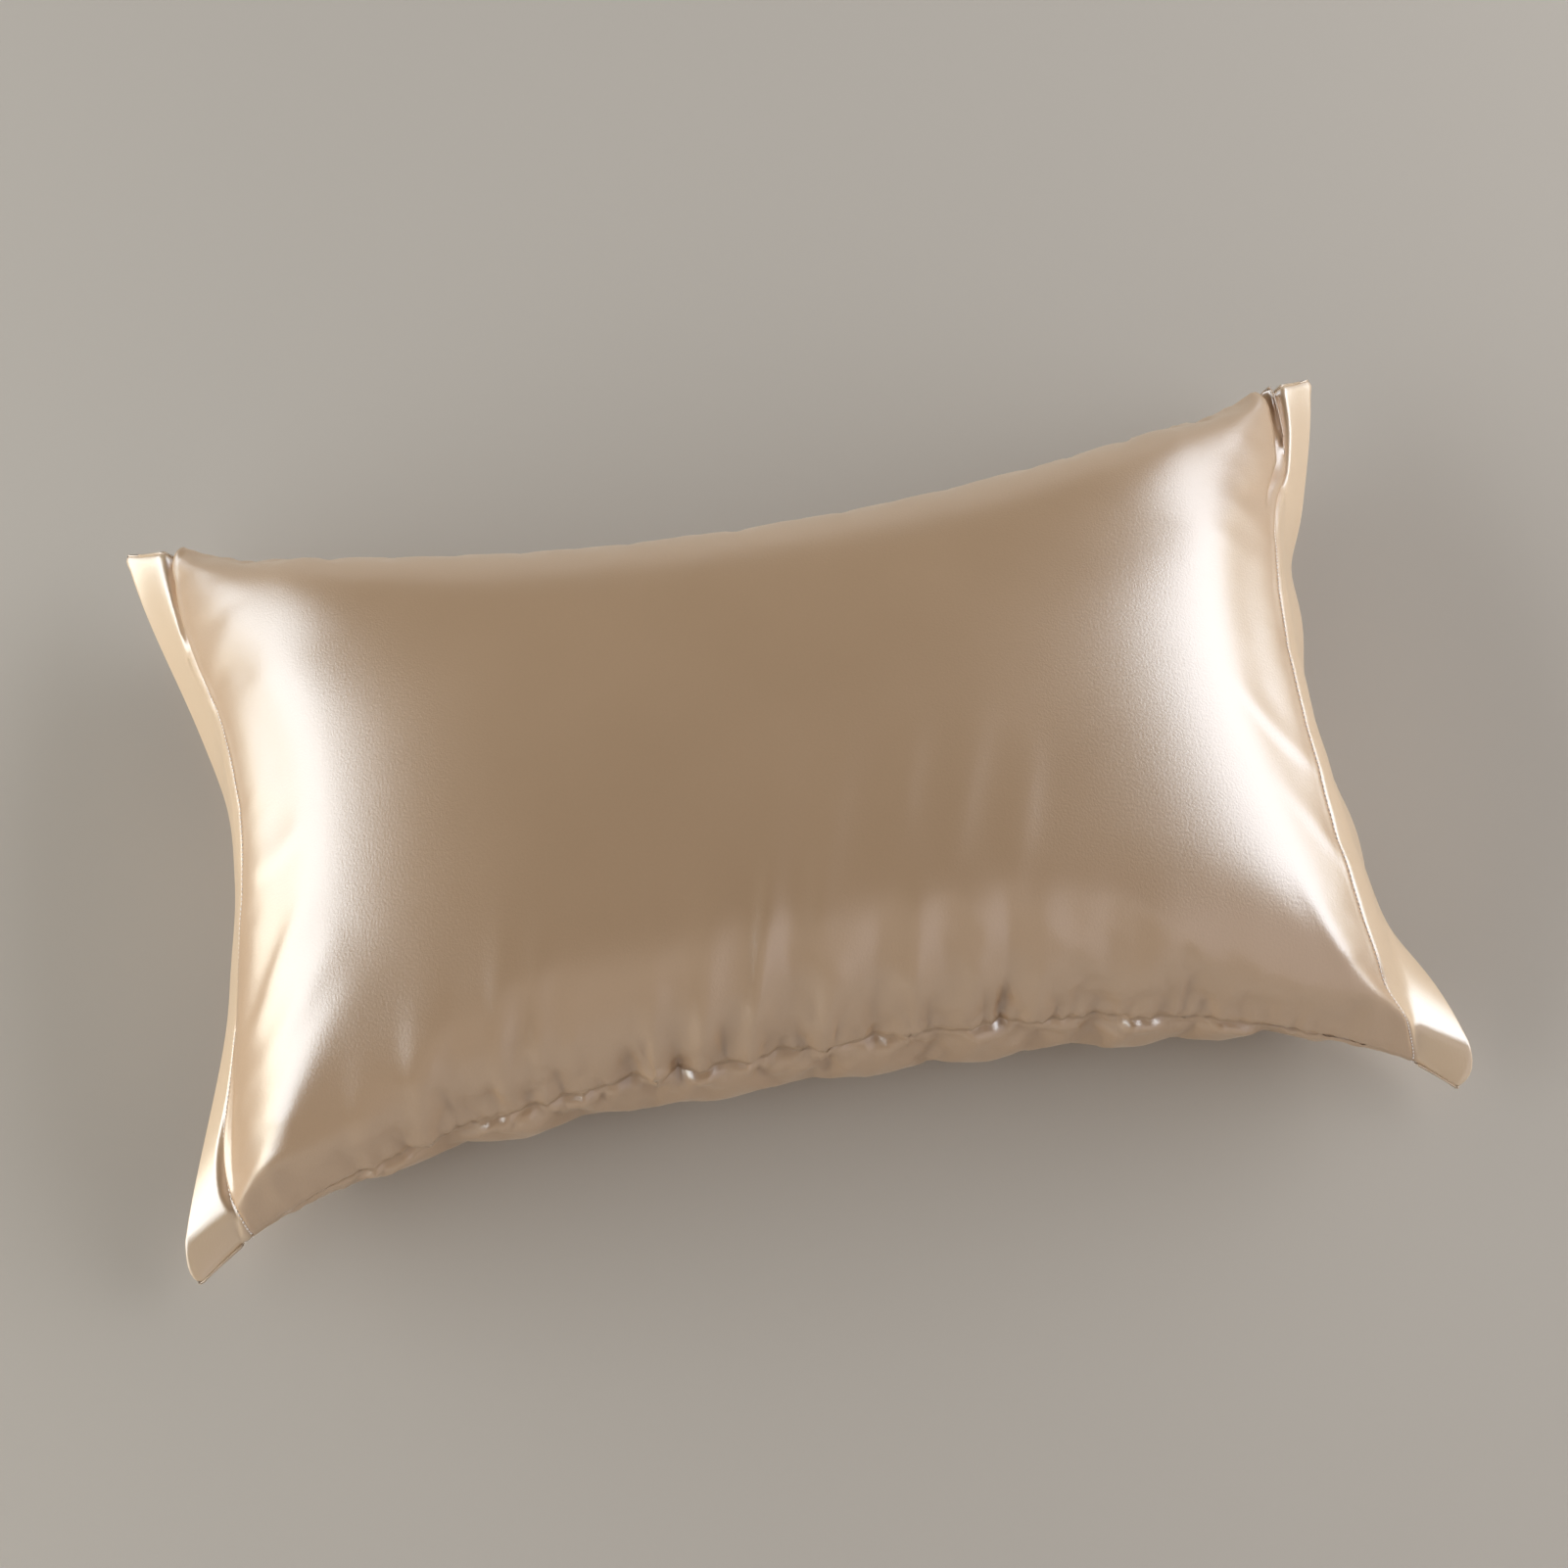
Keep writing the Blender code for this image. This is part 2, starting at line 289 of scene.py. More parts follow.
# Waves along the two hems: end (-1 left, 1 right), place, half width, and how far out.
Wave = namedtuple("Wave", "end y width out")
HEM_WAVES = (
    Wave(-1, 0.040, 0.030, -0.002),
    Wave(-1, -0.050, 0.028, 0.002),
    Wave(1, 0.098, 0.020, -0.004),
    Wave(1, 0.052, 0.024, 0.003),
    Wave(1, -0.014, 0.018, -0.005),
    Wave(1, -0.070, 0.030, 0.003),
    Wave(1, -0.120, 0.035, -0.009),
)


def bell(away, width):
    """A smooth bump: 1 in its middle, and about a third of that a width away."""
    return np.exp(-((away / width) ** 2))


def quarter_section(power, half_width, height, count=4000):
    """A quarter superellipse by its length: (length, across, up), the last two as shares."""
    angle = np.linspace(0, math.pi / 2, count)
    across = np.sin(angle) ** (2 / power)
    up = np.cos(angle) ** (2 / power)
    steps = np.hypot(np.diff(across) * half_width, np.diff(up) * height)
    length = np.concatenate(([0], np.cumsum(steps)))
    return length, across, up


def section_at(section, share):
    """The section's (across, up) at signed shares of its length."""
    length, across, up = section
    wanted = np.minimum(np.abs(share), 1) * length[-1]
    return np.copysign(np.interp(wanted, length, across), share), np.interp(wanted, length, up)


MID_X = (NEAR_STITCH_X + FAR_STITCH_X) / 2 - STITCH_SAG
MID_Y = (CORNER_Y + FAR_CORNER_Y - NEAR_SAG - FAR_SAG) / 2
MID_Z = SIDE_SEAM_Z + STITCH_MID_Z - (NEAR_CORNER_Z + FAR_CORNER_Z) / 2
CROWN = CROWN_TOP - MID_Z
ALONG = quarter_section(LENGTH_POWER, MID_X, CROWN)
ACROSS = quarter_section(WIDTH_POWER, MID_Y, CROWN)
HALF_LENGTH = ALONG[0][-1]  # of the top panel, over the cloth
HALF_WIDTH = ACROSS[0][-1]


def between(near, far, v):
    """A value that changes evenly from the near side of the case to the far side."""
    return near + (far - near) * (v + 1) / 2


def stitch_x(v):
    """How far from the middle of the case the filling ends, close to a hem's stitch line."""
    drawn_in = STITCH_SAG * np.maximum(0, np.cos(math.pi / 2 * v)) ** STITCH_CURVE
    return between(NEAR_STITCH_X, FAR_STITCH_X, v) - drawn_in


def side_y(x, v):
    """How far the long side on v's side is from the middle line, at x."""
    share = np.minimum(1, np.abs(x) / CORNER_X)
    near = CORNER_Y - NEAR_SAG * (1 - share**NEAR_CURVE)
    far = FAR_CORNER_Y - FAR_SAG * (1 - share**FAR_CURVE)
    return np.where(v < 0, near, far)


def near_fold(v):
    """0 over most of the width, rising to 1 at the near side."""
    share = np.maximum(0, (-v - FOLD_START) / (1 - FOLD_START))
    return share * share * (3 - 2 * share)


def seam_layer_z(u, v):
    """Height of the layer between the panels: the seams' own height along the rim."""
    corner = between(NEAR_CORNER_Z, FAR_CORNER_Z, v)
    side = (SIDE_SEAM_Z - corner) * (1 - np.abs(u) ** between(NEAR_RISE, FAR_RISE, v))
    end = (STITCH_MID_Z - corner) * np.cos(math.pi / 2 * v)
    return corner + side + end - FOLD_DROP * near_fold(v) * np.abs(u) ** NEAR_RISE


def hipped(first, second):
    """Shares of the crown's height, drawn together so that soft hips run to the corners."""
    first, second = np.maximum(first, 1e-6), np.maximum(second, 1e-6)
    return (first**-HIP_POWER + second**-HIP_POWER - 1) ** (-1 / HIP_POWER)


def filled_surface(u, v, top, thickness):
    """Points of the filled part, for shares u and v along and across the cloth."""
    along, up_along = section_at(ALONG, u)
    across, up_across = section_at(ACROSS, v)
    x = stitch_x(v) * (u + (along - u) * up_across)
    y = side_y(x, v) * (v + (across - v) * up_along)
    z = seam_layer_z(u, v)
    share = hipped(up_along, up_across)
    if top:
        z = z + CROWN * share + thickness / 2
    else:
        z = np.maximum(0, z - (MID_Z + SINK) * share - thickness / 2)
        y = y - overhang(u, v, x)
    return np.stack((x, y, z), -1)


def overhang(u, v, x):
    """How far the lower panel stands out under the near seam."""
    share = np.clip((OVERHANG_START - v) / (OVERHANG_START + 1), 0, 1)
    bulge = OVERHANG + sum(b.out * bell(x - b.x, b.width) for b in BULGES)
    return bulge * (1 - u**OVERHANG_END_POWER) * np.sin(math.pi * share**OVERHANG_POWER)


def hem_surface(end, v, out, sizes, top):
    """Points of a hem, out metres past the end of the filling."""
    corner = between(DROOP_NEAR, DROOP_FAR, v)
    droop = DROOP_MID + (corner - DROOP_MID) * np.abs(v) ** DROOP_CURVE
    reach = stitch_x(v) + out * np.cos(droop)
    tuck = FOLD_TUCK[end] * near_fold(v) ** TUCK_POWER * out / sizes.hem_depth
    y = side_y(reach, v) * v - CORNER_POINT * near_fold(v) * out / sizes.hem_depth
    half = sizes.hem_thickness / 2
    past = np.clip(1 - (sizes.hem_depth - out) / half, 0, 1)
    half = half * np.sqrt(1 - past**2)
    wave = sum(w.out * bell(y - w.y, w.width) for w in HEM_WAVES if w.end == end)
    thick = (half if top else -half) + wave * out / sizes.hem_depth
    x = end * (reach - tuck) + end * thick * np.sin(droop)
    z = seam_layer_z(end, v) - out * np.sin(droop) + thick * np.cos(droop)
    return np.stack((x, y, z), -1)


def shares(count):
    """Shares from -1 to 1 whose steps are smaller at both ends."""
    cell = np.arange(count)
    near_rim = np.exp(-cell / RIM_CELLS) + np.exp(-(count - 1 - cell) / RIM_CELLS)
    step = 1 - (1 - RIM_SHARE) * near_rim
    places = np.concatenate(([0], np.cumsum(step)))
    return places / places[-1] * 2 - 1


def stitch_along(end, across):
    """How far along the cloth an end's stitch line runs, at places across in rising order."""
    line = STITCH_LINES[end]
    low, high = across.min() - STITCH_MARGIN, across.max() + STITCH_MARGIN
    fine = np.linspace(low, high, STITCH_PLACES)
    along = np.interp(fine, *zip(*line))
    window = np.hanning(STITCH_SMOOTHING)
    ends = np.pad(along, STITCH_SMOOTHING // 2, mode="edge")
    smooth = np.convolve(ends, window / window.sum(), mode="valid")
    return np.interp(across, fine, smooth)


def columns_from_middle(end, across, sizes):
    """Places along the cloth from its middle to an end of the case, a column for each row."""
    stitch = stitch_along(end, across)
    inside = stitch - STITCH_CELL * FINE_CELL
    outside = inside + BAND_CELLS * FINE_CELL
    face = np.linspace(0, 1, FACE_CELLS + 1)[:-1, None] * inside
    band = np.linspace(0, 1, BAND_CELLS + 1)[:-1, None] * (outside - inside) + inside
    last = HALF_LENGTH + sizes.hem_depth
    even = np.linspace(0, 1, END_CELLS + 1)[:, None]
    hem = (1 - (1 - even) ** 2) * (last - outside) + outside
    return np.concatenate((face, band, hem))


def cubic(values, places):
    """Values along the first axis at places between them, by Catmull-Rom curves."""
    last = len(values) - 1
    low = np.clip(np.floor(places).astype(int), 0, last - 1)
    t = (places - low)[..., None]
    row = np.arange(values.shape[1])
    a, b, c, d = (values[np.clip(low + k, 0, last), row] for k in (-1, 0, 1, 2))
    return b + 0.5 * t * (c - a + t * (2 * a - 5 * b + 4 * c - d + t * (3 * (b - c) + d - a)))


class Panel:
    """One panel as a grid of points, columns along the case and rows across it."""

    def __init__(self, sizes, top, moves):
        self.top = top
        v = shares(CELLS_ACROSS)
        across = v * HALF_WIDTH
        left = -columns_from_middle(-1, across, sizes)[:0:-1]
        right = columns_from_middle(1, across, sizes)
        self.along = np.concatenate((left, right))
        self.across = np.broadcast_to(across, self.along.shape)
        self.seam = self.across + HALF_WIDTH  # from the near seam
        stitch = np.where(self.along < 0, stitch_along(-1, across), stitch_along(1, across))
        self.stitch = np.abs(self.along) - stitch  # out past the stitch line
        u = np.clip(self.along / HALF_LENGTH, -1, 1)
        filled = filled_surface(u, v, top, sizes.hem_thickness)
        moved = cubic(moves.transpose(1, 0, 2), (v[:, None] + 1) / 2 * (moves.shape[1] - 1))
        filled += cubic(moved.transpose(1, 0, 2), (u + 1) / 2 * (moves.shape[0] - 1))
        out = np.maximum(0, np.abs(self.along) - HALF_LENGTH)
        hems = [hem_surface(end, v, out, sizes, top) for end in (-1, 1)]
        hem = np.where((self.along < 0)[..., None], *hems)
        self.points = np.where((out > 0)[..., None], hem, filled)

    def normals(self):
        """Outward normals of the grid."""
        along = np.gradient(self.points, axis=0)
        across = np.gradient(self.points, axis=1)
        normal = np.cross(along, across)
        normal /= np.maximum(np.linalg.norm(normal, axis=-1, keepdims=True), 1e-12)
        return normal if self.top else -normal


def joined_grids(grids):
    """Coarse grids of both panels as one closed mesh, and each panel's point numbers in it."""
    columns, rows = SETTLE_CELLS
    upper = np.arange((columns + 1) * (rows + 1)).reshape(columns + 1, rows + 1)
    inside = np.zeros(upper.shape, bool)
    inside[1:-1, 1:-1] = True
    lower = upper.copy()
    lower[inside] = upper.size + np.arange(inside.sum())
    points = np.concatenate((grids[0].reshape(-1, 3), grids[1][inside]))
    faces = []
    for i in range(columns):
        for j in range(rows):
            corners = ((i, j), (i + 1, j), (i + 1, j + 1), (i, j + 1))
            faces.append([int(upper[c]) for c in corners])
            faces.append([int(lower[c]) for c in reversed(corners)])
    data = bpy.data.meshes.new("settling")
    data.from_pydata(points.tolist(), [], faces)
    return data, upper, lower, inside


def spare_cloth(grid_u, grid_v):
    """Shares by which the cloth is longer than the rim that it is joined to."""

    def near(away, reach):
        return np.exp(-((away / reach) ** SPARE_POWER))

    between_corners = 1 - np.abs(grid_u) ** SPARE_END_POWER
    return (
        SEAM_SPARE * between_corners * near((1 + grid_v) * HALF_WIDTH, SEAM_SPARE_REACH)
        + FAR_SPARE * between_corners * near((1 - grid_v) * HALF_WIDTH, SEAM_SPARE_REACH)
        + END_SPARE * near((1 - np.abs(grid_u)) * HALF_LENGTH, END_SPARE_REACH)
    )


def simulated(case):
    """Where cloth simulation takes the points of the case."""
    cloth = case.modifiers.new("cloth", "CLOTH")
    satin = cloth.settings
    satin.quality = 5
    satin.mass = 0.1
    satin.tension_stiffness = satin.compression_stiffness = 15
    satin.shear_stiffness = 5
    satin.bending_stiffness = 0.1
    satin.use_pressure = True
    satin.uniform_pressure_force = FILL_PRESSURE
    satin.effector_weights.gravity = 0
    satin.vertex_group_mass = "held"
    satin.vertex_group_shrink = "snug"
    satin.shrink_min = -SEAM_SPARE
    satin.shrink_max = 0.0
    cloth.collision_settings.use_collision = False
    cloth.point_cache.frame_start = 1
    cloth.point_cache.frame_end = SETTLE_FRAMES
    for frame_number in range(1, SETTLE_FRAMES + 1):
        bpy.context.scene.frame_set(frame_number)
    settled = case.evaluated_get(bpy.context.evaluated_depsgraph_get())
    found = np.empty(len(case.data.vertices) * 3)
    settled.data.vertices.foreach_get("co", found)
    return found.reshape(-1, 3)


def settle():
    """How cloth simulation moves each panel from its first shape, as grids of vectors.

    Both panels are joined along their rims, which stay where they are, and are cut longer than
    the seams that draw them in. Pressure from inside then puckers the spare cloth.
    """
    u, v = (np.linspace(-1, 1, cells + 1) for cells in SETTLE_CELLS)
    grid_u, grid_v = np.meshgrid(u, v, indexing="ij")
    grids = [filled_surface(grid_u, grid_v, top, 0.0) for top in (True, False)]
    data, upper, lower, inside = joined_grids(grids)
    case = bpy.data.objects.new("settling", data)
    scene = bpy.context.scene
    scene.collection.objects.link(case)

    held = case.vertex_groups.new(name="held")
    snug = case.vertex_groups.new(name="snug")
    resting = [int(n) for n in lower[inside & (grids[1][..., 2] < RESTING_HEIGHT)]]
    held.add([int(n) for n in upper[~inside]] + resting, 1.0, "REPLACE")
    spare = spare_cloth(grid_u, grid_v)
    for index, share in enumerate(np.concatenate((spare.ravel(), spare[inside]))):
        snug.add([index], 1 - min(1, share / SEAM_SPARE), "REPLACE")

    found = simulated(case)
    bpy.data.objects.remove(case)
    bpy.data.meshes.remove(data)
    scene.frame_set(1)

    moves = []
    for grid, index in zip(grids, (upper, lower)):
        move = found[index] - grid
        length = np.linalg.norm(move, axis=-1, keepdims=True)
        move *= np.minimum(1, SETTLE_LIMIT / np.maximum(length, 1e-9))
        from_seam = (1 - np.abs(grid_v)) * HALF_WIDTH
        crinkled = CRINKLE_SHARE * bell(from_seam, CRINKLE_REACH)
        crinkled = crinkled * np.maximum(0, 1 - CRINKLE_FADE * grid_u**CRINKLE_POWER)
        soft = softened(move)
        moves.append(soft + (move - soft) * crinkled[..., None])
    return moves


def softened(moves):
    """The moves averaged with those beside them, all but along the rims."""
    for _ in range(SETTLE_SOFTENING):
        beside = moves[:-2, 1:-1] + moves[2:, 1:-1] + moves[1:-1, :-2] + moves[1:-1, 2:]
        moves = moves.copy()
        moves[1:-1, 1:-1] = moves[1:-1, 1:-1] / 2 + beside / 8
    return moves


def along_line(panel, fold):
    """Signed distance over the cloth from the fold's line, and the share of the way along it."""
    start = np.array((fold.along0, fold.across0))
    end = np.array((fold.along2, fold.across2))
    control = 2 * np.array((fold.along1, fold.across1)) - (start + end) / 2
    places = np.linspace(0, 1, FOLD_PLACES)
    line = [(1 - t) ** 2 * start + 2 * t * (1 - t) * control + t * t * end for t in places]
    nearest = np.full(panel.along.shape, np.inf)
    signed = np.zeros(panel.along.shape)
    way = np.zeros(panel.along.shape)
    for i in range(len(line) - 1):
        step = line[i + 1] - line[i]
        along, across = panel.along - line[i][0], panel.across - line[i][1]
        part = np.clip((along * step[0] + across * step[1]) / (step @ step), 0, 1)
        along, across = along - part * step[0], across - part * step[1]
        distance = np.hypot(along, across)
        closer = distance < nearest
        nearest = np.where(closer, distance, nearest)
        side = np.sign(step[0] * across - step[1] * along)
        signed = np.where(closer, distance * side, signed)
        way = np.where(closer, places[i] + part * (places[1] - places[0]), way)
    return signed, way


def fold_profile(away, width, skew):
    """A fold's cross-section: 1 on its line, and steeper on one side where skew isn't 0."""
    side = np.where(away > 0, 1 + skew, 1 - skew)
    return bell(away, width * side)


def fold_heights(panel):
    """What the soft folds and the gathers add to the top panel."""
    heights = np.zeros(panel.along.shape)
    for fold in FOLDS:
        away, way = along_line(panel, fold)
        fade = np.sin(math.pi * way) ** FOLD_FADE
        heights += fold.rise * fade * fold_profile(away, fold.width, fold.skew)
    at_seam, wider = GATHER_FLARE
    for gather in GATHERS:
        share = np.clip(panel.seam / gather.reach, 0, 1)
        away = panel.along - gather.along - gather.lean * share
        width = gather.width * (at_seam + wider * share)
        held = 1 - GATHER_HELD * bell(panel.seam, HELD_REACH)
        rise = gather.rise * (1 - share) ** GATHER_FADE * held
        heights += rise * fold_profile(away, width, gather.skew)
    return heights


def gap_heights(panel):
    """The deep gaps beside the stitch lines."""
    heights = np.zeros(panel.along.shape)
    for gap in GAPS:
        across, widths, depths = zip(*gap.stations)
        width = np.interp(panel.across, across, widths)
        depth = np.interp(panel.across, across, depths, left=0)
        away = panel.stitch - gap.outside
        side = width * np.where(away > 0, GAP_OUTER, GAP_INNER)
        at_end = np.sign(panel.along) == gap.end
        heights -= np.where(at_end, depth * np.exp(-(np.abs(away) / side) ** GAP_POWER), 0)
    return heights


def relief(place, shape):
    """What a relief adds at a distance from its line."""
    return shape.rise * bell(place - shape.away, shape.width)


def stitch_line_heights(panel):
    """The sunk stitch line, between ridges that are fuller towards the far corners."""
    away, width, rise = STITCH_RIDGE
    ridges = bell(panel.stitch - away, width) + bell(panel.stitch + away, width)
    fuller = np.clip((panel.across - FULLER_FROM) / FULLER_OVER, 0, 1)
    return (rise + FULLER * fuller) * ridges + relief(panel.stitch, STITCH_DIP)


def pucker_heights(panel, puckers, chance):
    """Small puckers along both long seams."""
    heights = np.zeros(panel.along.shape)
    for away in (panel.seam, 2 * HALF_WIDTH - panel.seam):
        place = -HALF_LENGTH
        while place < HALF_LENGTH - puckers.most:
            place += chance.uniform(puckers.least, puckers.most)
            lean = chance.uniform(-puckers.lean, puckers.lean)
            reach = puckers.reach * chance.uniform(*REACHES)
            rise = puckers.rise * chance.uniform(*RISES)
            rise *= 1 - abs(place / HALF_LENGTH) ** PUCKER_POWER
            width = puckers.width * chance.uniform(*WIDTHS)
            strength = rise * bell(away, reach)
            heights += strength * bell(panel.along - place - lean * away, width)
    return heights


def seam_heights(panel):
    """Both panels swell a little beside a long seam, so that the seam itself is sunk."""
    away = np.minimum(panel.seam, 2 * HALF_WIDTH - panel.seam)
    return relief(away, SEAM_SWELL) + relief(away, SEAM_DIP)


def shape_folds(top, bottom, seed):
    """Fold the top panel, and carry the cloth beneath it along the rims and the hems."""
    chance = np.random.default_rng(seed)
    heights = fold_heights(top) + stitch_line_heights(top) + gap_heights(top)
    heights += pucker_heights(top, SEAM_PUCKERS, chance)
    moves = top.normals() * heights[..., None]
    inside_end = np.maximum(0, HALF_LENGTH - np.abs(top.along))
    inside_side = np.maximum(0, HALF_WIDTH - np.abs(top.across))
    carried = bell(np.minimum(inside_end, inside_side), CARRIED_REACH)
    own = stitch_line_heights(bottom) + pucker_heights(bottom, LOWER_PUCKERS, chance)
    own = own * (1 - carried) + seam_heights(bottom)
    under = bottom.normals() * own[..., None]
    top.points = top.points + moves + top.normals() * seam_heights(top)[..., None]
    bottom.points = bottom.points + moves * carried[..., None] + under
    bottom.points[..., 2] = np.maximum(0, bottom.points[..., 2])


def around_rim(last_column, last_row):
    """Grid places all round a panel's rim, from its near left corner."""
    ring = [(i, 0) for i in range(last_column)]
    ring += [(last_column, j) for j in range(last_row)]
    ring += [(i, last_row) for i in range(last_column, 0, -1)]
    ring += [(0, j) for j in range(last_row, 0, -1)]
    return ring


def groove_points(top, bottom, ring, depth):
    """The bottom of the groove between the panels, a point for each place on the rim."""
    last_column, last_row = top.points.shape[0] - 1, top.points.shape[1] - 1
    for i, j in ring:
        inner_i = min(max(i, 1), last_column - 1)
        inner_j = min(max(j, 1), last_row - 1)
        rim = (top.points[i, j] + bottom.points[i, j]) / 2
        inner = (top.points[inner_i, inner_j] + bottom.points[inner_i, inner_j]) / 2
        inward = (inner - rim) / max(1e-9, np.linalg.norm(inner - rim))
        yield (rim + inward * depth).tolist()


def case_mesh(sizes):
    """The closed case: both panels, and a fine groove between them all round."""
    top_moves, bottom_moves = settle()
    top, bottom = Panel(sizes, True, top_moves), Panel(sizes, False, bottom_moves)
    shape_folds(top, bottom, sizes.seed)
    last_column, last_row = top.points.shape[0] - 1, top.points.shape[1] - 1

    mesh = bmesh.new()
    grids = []
    for panel in (top, bottom):
        grids.append([[mesh.verts.new(p) for p in column] for column in panel.points.tolist()])
    upper, lower = grids
    for i in range(last_column):
        for j in range(last_row):
            mesh.faces.new((upper[i][j], upper[i + 1][j], upper[i + 1][j + 1], upper[i][j + 1]))
            mesh.faces.new((lower[i][j], lower[i][j + 1], lower[i + 1][j + 1], lower[i + 1][j]))
    ring = around_rim(last_column, last_row)
    groove = [mesh.verts.new(p) for p in groove_points(top, bottom, ring, sizes.seam_groove)]
    for k, (i0, j0) in enumerate(ring):
        after = (k + 1) % len(ring)
        i1, j1 = ring[after]
        mesh.faces.new((groove[k], groove[after], upper[i1][j1], upper[i0][j0]))
        mesh.faces.new((lower[i0][j0], lower[i1][j1], groove[after], groove[k]))

    cloth = mesh.loops.layers.uv.new("cloth")
    place = {}
    for grid, panel, shift in ((upper, top, 0.0), (lower, bottom, 1.0)):
        for i, column in enumerate(grid):
            for j, vertex in enumerate(column):
                place[vertex] = (panel.along[i, j] + shift, panel.across[i, j] + shift)
    for (i, j), vertex in zip(ring, groove):
        place[vertex] = place[upper[i][j]]
    for face in mesh.faces:
        for loop in face.loops:
            loop[cloth].uv = place[loop.vert]
    data = bpy.data.meshes.new("pillowcase_satin")
    mesh.to_mesh(data)
    mesh.free()
    # Share of the hem beyond each stitch line, where the colour is lighter: partly the doubled
    # cloth, partly painted light for the bright light on the hems
    doubled_hem_and_painted_light = [np.clip(panel.stitch / HEM_FADE, 0, 1) for panel in (top, bottom)]
    beside_groove = [doubled_hem_and_painted_light[0][i, j] for i, j in ring]
    hem = data.attributes.new("doubled_hem_and_painted_light", "FLOAT", "POINT")
    hem.data.foreach_set("value", np.concatenate([d.ravel() for d in doubled_hem_and_painted_light] + [beside_groove]))
    data.shade_smooth()
    return data


# ---------------------------------------------------------------- materials


class Value:
    """A socket that takes part in arithmetic: an expression adds its Math nodes."""

    def __init__(self, graph, socket):
        self.graph = graph
        self.socket = socket

    def math(self, operation, *values):
        return self.graph.value("ShaderNodeMath", {"operation": operation}, dict(enumerate(values)))

    def __add__(self, other):
        return self.math("ADD", self, other)

    def __sub__(self, other):
        return self.math("SUBTRACT", self, other)

    def __rsub__(self, other):
        return self.math("SUBTRACT", other, self)

    def __mul__(self, other):
        return self.math("MULTIPLY", self, other)

    __radd__ = __add__
    __rmul__ = __mul__


class Graph:
    """The nodes of one tree."""

    def __init__(self, tree):
        self.tree = tree
        tree.nodes.clear()

    def node(self, kind, settings=None, values=None):
        """Add a node of any kind. Its settings are set first, then its sockets' values or links."""
        node = self.tree.nodes.new(kind)
        for name, setting in (settings or {}).items():
            setattr(node, name, setting)
        for name, value in (values or {}).items():
            if isinstance(value, Value):
                self.tree.links.new(value.socket, node.inputs[name])
            else:
                node.inputs[name].default_value = value
        return node

    def value(self, kind, settings=None, values=None, output=0):
        return Value(self, self.node(kind, settings, values).outputs[output])

    def mixed(self, share, first, second):
        """A mix of two colours, from the first at share 0 to the second at share 1."""
        settings = {"data_type": "RGBA", "clamp_factor": True}
        return self.value("ShaderNodeMix", settings, {0: share, 6: first, 7: second}, output=2)

    def surface(self, values):
        """Add a material's one shader and its output."""
        shader = self.value("ShaderNodeBsdfPrincipled", values=values)
        self.node("ShaderNodeOutputMaterial", values={"Surface": shader})


def shaded(colour, factor=1.0):
    """A colour made deeper or lighter, with its alpha."""
    return [min(1.0, part * factor) for part in colour] + [1.0]


def new_material(name):
    material = bpy.data.materials.new(name)
    material.use_nodes = True
    return material, Graph(material.node_tree)


SATIN_SHADES = (0.86, 1.1)  # the deepest and the lightest, as shares of the satin's colour
THREAD_SHADES = (0.85, 1.05)
MOTTLE_SHADE = 0.5  # how far the soft mottle changes the shade
GRAIN_SHADE = 0.45  # how far the grain does
MOTTLE_ROUGHNESS = 0.08  # how far the mottle changes the roughness


def satin_material(settings):
    """Champagne satin: a soft bright sheen broken by the grain of its fine floats."""
    material, graph = new_material("satin")
    cloth = graph.value("ShaderNodeUVMap", {"uv_map": "cloth"})
    grain = graph.value(
        "ShaderNodeTexNoise",
        values={"Vector": cloth, "Scale": 760.0, "Detail": 3.0, "Roughness": 0.6},
    )
    mottle = graph.value(
        "ShaderNodeTexNoise", values={"Vector": cloth, "Scale": 11.0, "Detail": 4.0}
    )
    shade = (mottle - 0.5) * MOTTLE_SHADE + (grain - 0.5) * GRAIN_SHADE + 0.5
    deep, light = (shaded(settings.colour, factor) for factor in SATIN_SHADES)
    single = graph.mixed(shade, deep, light)
    # Lighter colour on the hems: partly the doubled cloth, partly painted light standing in for the
    # bright cream light on them
    doubled_hem_and_painted_light = graph.value("ShaderNodeAttribute", {"attribute_name": "doubled_hem_and_painted_light"}, output=2)
    colour = graph.mixed(doubled_hem_and_painted_light, single, shaded(settings.hem_and_painted_light_colour))
    normal = graph.value(
        "ShaderNodeBump",
        values={"Strength": settings.weave_strength, "Distance": 0.0006, "Height": grain},
    )
    graph.surface({
        "Base Color": colour,
        "Roughness": settings.roughness + (mottle - 0.5) * MOTTLE_ROUGHNESS,
        "Metallic": settings.metallic,
        "Normal": normal,
        "IOR": 3.0,
        "Sheen Weight": 0.2,
        "Sheen Roughness": 0.35,
        "Sheen Tint": (1.0, 0.9, 0.75, 1.0),
    })
    return material


def thread_material(settings):
    """Sewing thread, a shade lighter than the satin."""
    material, graph = new_material("thread")
    place = graph.value("ShaderNodeTexCoord", output=3)
    twist = graph.value(
        "ShaderNodeTexNoise", values={"Vector": place, "Scale": 2600.0, "Detail": 1.0}
    )
    deep, light = (shaded(settings.thread_colour, factor) for factor in THREAD_SHADES)
    colour = graph.mixed(twist, deep, light)
    normal = graph.value(
        "ShaderNodeBump", values={"Strength": 0.5, "Distance": 0.0001, "Height": twist}
    )
    graph.surface({"Base Color": colour, "Roughness": 0.42, "Normal": normal})
    return material


def floor_material(settings):
    """A plain pale matt floor."""
    material, graph = new_material("floor")
    graph.surface({"Base Color": shaded(settings.floor_colour), "Roughness": 0.9})
    return material


# ---------------------------------------------------------------- stitches

STITCH_SHARE = 0.78  # share of the pitch that a stitch is long
STITCH_LIFT = 0.4  # share of the thread's thickness by which its middle is above the cloth
BARE_ROWS = 2  # rows of the grid with no stitching, at each long seam


